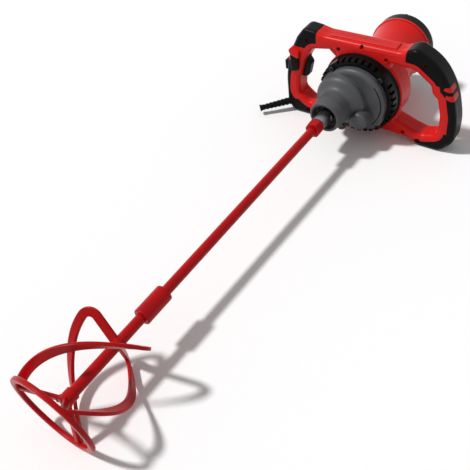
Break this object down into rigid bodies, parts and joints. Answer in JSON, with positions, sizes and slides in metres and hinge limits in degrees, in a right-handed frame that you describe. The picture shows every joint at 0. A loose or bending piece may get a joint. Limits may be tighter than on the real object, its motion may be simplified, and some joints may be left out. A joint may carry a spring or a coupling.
{
  "type": "drill paint mixer",
  "caption": "Two-handed electric paint and mortar mixer: offset gearbox motor in a loop frame, with a long rod and a helical ribbon whisk.",
  "frame": {"origin": "centre of the gearbox collar's mouth on the spindle axis", "axes": "+Y along the spindle axis from the whisk towards the motor, +X towards the right hand loop, +Z across the frame from the two lower bumpers towards the top bar"},
  "size_m": [0.3435, 0.84, 0.168],
  "materials": {
    "casting_grey": "painted dark grey die casting",
    "black_steel": "black oxide screws",
    "pin_brown": "dull brown metal",
    "seal_rubber": "lip seal rubber",
    "bright_steel": "machined steel",
    "bronze": "sintered bronze bush",
    "black_plastic": "fine grained black plastic",
    "shell_red": "satin moulded plastic",
    "laminations": "stacked lamination steel",
    "copper": "enamelled copper winding",
    "carbon": "pressed carbon",
    "soft_black": "matt soft grip rubber",
    "whisk_red": "glossy red powder coat"
  },
  "bodies": {
    "machine": {"gearbox_housing": "casting_grey", "gearbox_plate": "casting_grey", "gearbox_screws": "black_steel", "grease_plug": "pin_brown", "spindle_seal": "seal_rubber", "spindle_bearing": "bright_steel", "spindle_tail_bush": "bronze", "lay_shaft_bush": "bronze", "lay_shaft_bearing": "bright_steel", "armature_front_bearing": "bright_steel", "armature_rear_bearing": "bright_steel", "gear_shroud": "black_plastic", "vent_ring": "black_plastic", "motor_housing": "shell_red", "rear_cap": "black_plastic", "rear_cap_screws": "black_steel", "field_stator": "laminations", "field_coils": "copper", "brush_holders": "black_plastic", "carbon_brushes": "carbon", "front_frame_shell": "shell_red", "rear_frame_shell": "shell_red", "frame_screws": "black_steel", "right_grip_cover": "soft_black", "right_grip_inserts": "shell_red", "left_grip_cover": "soft_black", "top_left_bumper": "soft_black", "top_right_bumper": "soft_black", "bottom_left_bumper": "soft_black", "bottom_right_bumper": "soft_black", "switch_housing": "shell_red", "switch_module": "black_plastic", "trigger_pin": "bright_steel", "cord_sleeve": "soft_black"},
    "whisk": {"output_spindle": "bright_steel", "output_gear": "bright_steel", "whisk_adaptor": "whisk_red", "upper_rod": "whisk_red", "coupling_sleeve": "whisk_red", "lower_rod": "whisk_red", "whisk_hub": "whisk_red", "whisk_lower_arms": "whisk_red", "whisk_ring": "whisk_red", "blade_1": "whisk_red", "blade_2": "whisk_red", "blade_3": "whisk_red"},
    "lay_shaft_set": {"lay_shaft": "bright_steel", "lay_wheel": "bright_steel"},
    "armature": {"armature_shaft": "bright_steel", "armature_core": "laminations", "commutator": "copper", "cooling_fan": "black_plastic"},
    "trigger": {"trigger": "black_plastic"},
    "lock_button": {"lock_button": "black_plastic"},
    "speed_dial": {"speed_dial": "black_plastic"}
  },
  "joints": [
    {"name": "spindle_spin", "type": "hinge", "parent": "machine", "child": "whisk", "pos_m": [0, 0, 0], "axis": [0, 1, 0], "continuous": true},
    {"name": "lay_spin", "type": "hinge", "parent": "machine", "child": "lay_shaft_set", "pos_m": [0.0382, 0, -0.02081], "axis": [0, 1, 0], "continuous": true},
    {"name": "armature_spin", "type": "hinge", "parent": "machine", "child": "armature", "pos_m": [0.018, 0, 0], "axis": [0, 1, 0], "continuous": true},
    {"name": "trigger_pull", "type": "hinge", "parent": "machine", "child": "trigger", "pos_m": [-0.095, 0.104, 0.031], "axis": [0, 1, 0], "range_deg": [0, 8], "stiffness_Nm_per_rad": 0.3, "springref_deg": -5.73},
    {"name": "lock_press", "type": "slide", "parent": "machine", "child": "lock_button", "axis": [1, 0, 0], "range_m": [0, 0.003], "stiffness_N_per_m": 200, "springref_m": -0.002},
    {"name": "dial_turn", "type": "hinge", "parent": "machine", "child": "speed_dial", "pos_m": [-0.101, 0.1175, 0.04], "axis": [0, 1, 0], "range_deg": [0, 270]}
  ],
  "couplings": [
    {"joint": "lay_spin", "follows": "spindle_spin", "ratio": -3.8333},
    {"joint": "armature_spin", "follows": "spindle_spin", "ratio": 18.4}
  ]
}
